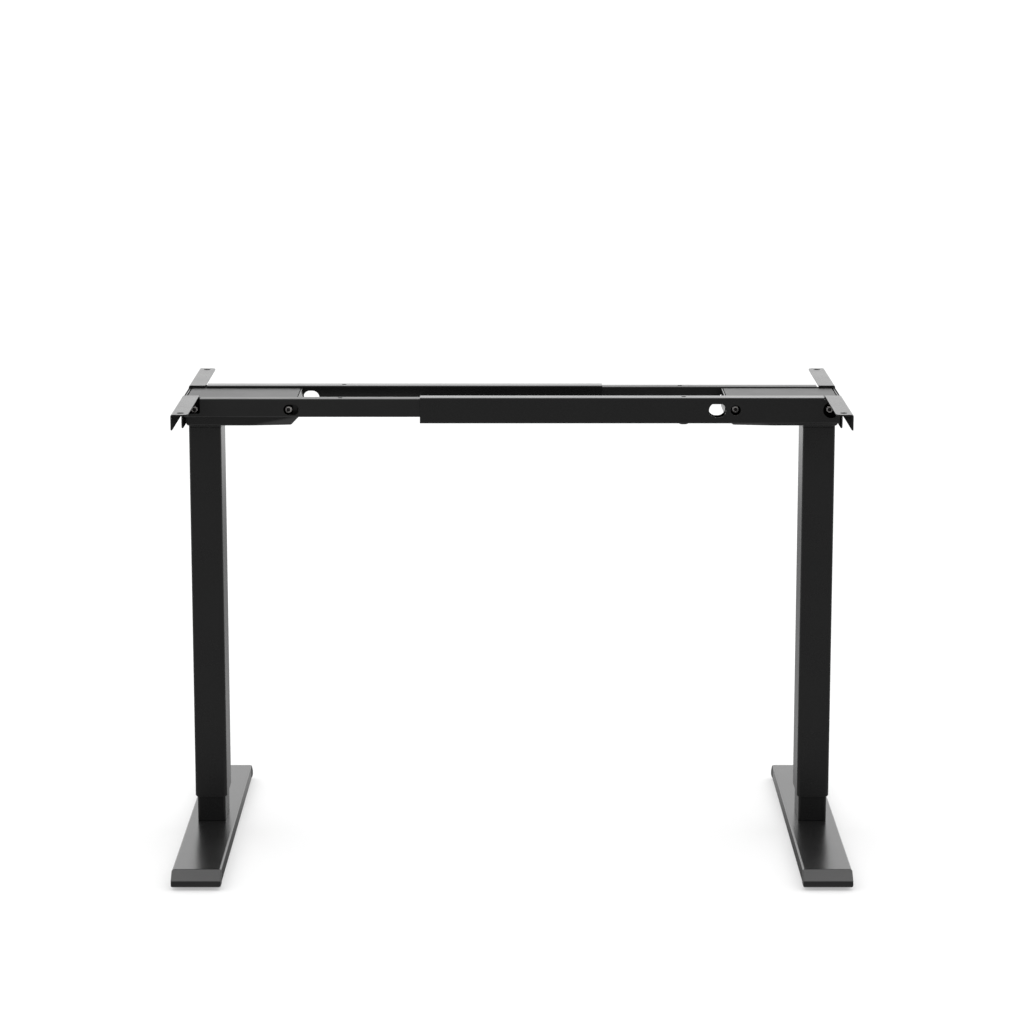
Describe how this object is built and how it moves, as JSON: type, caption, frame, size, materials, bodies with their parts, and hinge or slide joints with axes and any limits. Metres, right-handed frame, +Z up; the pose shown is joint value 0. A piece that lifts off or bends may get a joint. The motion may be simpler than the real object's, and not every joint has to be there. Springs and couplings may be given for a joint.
{
  "type": "height adjustable desk frame",
  "caption": "Black steel desk frame with twin telescopic lifting columns on long flat feet, joined at the top by telescopic cross rails and side brackets.",
  "frame": {"origin": "on the floor, midway between the two columns", "axes": "+X to the right along the cross rails, -Y to the front, +Z up"},
  "size_m": [1.0254, 0.633, 0.711],
  "materials": {
    "frame_black": "satin black powder coat with a fine texture",
    "cap_black": "satin moulded black plastic",
    "guide_plastic": "matt black acetal",
    "glide_rubber": "matt black rubber",
    "zinc_steel": "zinc plated",
    "gearbox_alloy": "die cast",
    "motor_steel": "drawn steel can"
  },
  "bodies": {
    "lower_left": {"foot_left": "frame_black", "foot_cap_front_left": "cap_black", "foot_cap_rear_left": "cap_black", "inner_tube_left": "frame_black", "foot_block_left": "zinc_steel", "spindle_nut_left": "zinc_steel", "top_sleeve_left": "guide_plastic", "foot_bolt_front_left": "zinc_steel", "foot_bolt_rear_left": "zinc_steel"},
    "upper_left": {"outer_tube_left": "frame_black", "mouth_collar_left": "guide_plastic", "column_head_left": "frame_black", "gearbox_left": "gearbox_alloy", "motor_left": "motor_steel", "motor_box_left": "frame_black", "box_cover_left": "frame_black", "bracket_left": "frame_black", "wide_rail_rear": "frame_black", "narrow_rail_front": "frame_black", "rail_guide_rear": "guide_plastic", "screw_bush_rear": "guide_plastic", "bracket_bolt_front_left": "zinc_steel", "bracket_bolt_rear_left": "zinc_steel", "rail_bolt_inner_front_left": "zinc_steel", "rail_bolt_outer_front_left": "zinc_steel", "rail_bolt_inner_rear_left": "zinc_steel", "rail_bolt_outer_rear_left": "zinc_steel"},
    "spindle_left": {"spindle_left": "zinc_steel"},
    "glide_front_left": {"glide_front_left": "glide_rubber"},
    "glide_rear_left": {"glide_rear_left": "glide_rubber"},
    "lower_right": {"foot_right": "frame_black", "foot_cap_front_right": "cap_black", "foot_cap_rear_right": "cap_black", "inner_tube_right": "frame_black", "foot_block_right": "zinc_steel", "spindle_nut_right": "zinc_steel", "top_sleeve_right": "guide_plastic", "foot_bolt_front_right": "zinc_steel", "foot_bolt_rear_right": "zinc_steel"},
    "upper_right": {"outer_tube_right": "frame_black", "mouth_collar_right": "guide_plastic", "column_head_right": "frame_black", "gearbox_right": "gearbox_alloy", "motor_right": "motor_steel", "motor_box_right": "frame_black", "box_cover_right": "frame_black", "bracket_right": "frame_black", "wide_rail_front": "frame_black", "narrow_rail_rear": "frame_black", "rail_guide_front": "guide_plastic", "screw_bush_front": "guide_plastic", "bracket_bolt_front_right": "zinc_steel", "bracket_bolt_rear_right": "zinc_steel", "rail_bolt_inner_front_right": "zinc_steel", "rail_bolt_outer_front_right": "zinc_steel", "rail_bolt_inner_rear_right": "zinc_steel", "rail_bolt_outer_rear_right": "zinc_steel"},
    "spindle_right": {"spindle_right": "zinc_steel"},
    "glide_front_right": {"glide_front_right": "glide_rubber"},
    "glide_rear_right": {"glide_rear_right": "glide_rubber"}
  },
  "joints": [
    {"name": "lift_left", "type": "slide", "parent": "lower_left", "child": "upper_left", "axis": [0, 0, 1], "range_m": [0, 0.47]},
    {"name": "width", "type": "slide", "parent": "upper_left", "child": "upper_right", "axis": [1, 0, 0], "range_m": [-0.015, 0.26]},
    {"name": "lift_right", "type": "slide", "parent": "upper_right", "child": "lower_right", "axis": [0, 0, -1], "range_m": [0, 0.47]},
    {"name": "spindle_left_turn", "type": "hinge", "parent": "upper_left", "child": "spindle_left", "pos_m": [-0.475, 0, 0.4], "axis": [0, 0, 1], "range_deg": [0, 14101]},
    {"name": "spindle_right_turn", "type": "hinge", "parent": "upper_right", "child": "spindle_right", "pos_m": [0.475, 0, 0.4], "axis": [0, 0, 1], "range_deg": [0, 14101]},
    {"name": "glide_front_left_level", "type": "slide", "parent": "lower_left", "child": "glide_front_left", "axis": [0, 0, -1], "range_m": [0, 0.01]},
    {"name": "glide_rear_left_level", "type": "slide", "parent": "lower_left", "child": "glide_rear_left", "axis": [0, 0, -1], "range_m": [0, 0.01]},
    {"name": "glide_front_right_level", "type": "slide", "parent": "lower_right", "child": "glide_front_right", "axis": [0, 0, -1], "range_m": [0, 0.01]},
    {"name": "glide_rear_right_level", "type": "slide", "parent": "lower_right", "child": "glide_rear_right", "axis": [0, 0, -1], "range_m": [0, 0.01]}
  ],
  "couplings": [
    {"joint": "lift_right", "follows": "lift_left", "ratio": 1},
    {"joint": "spindle_left_turn", "follows": "lift_left", "rad_per_m": 523.6},
    {"joint": "spindle_right_turn", "follows": "lift_left", "rad_per_m": 523.6}
  ]
}
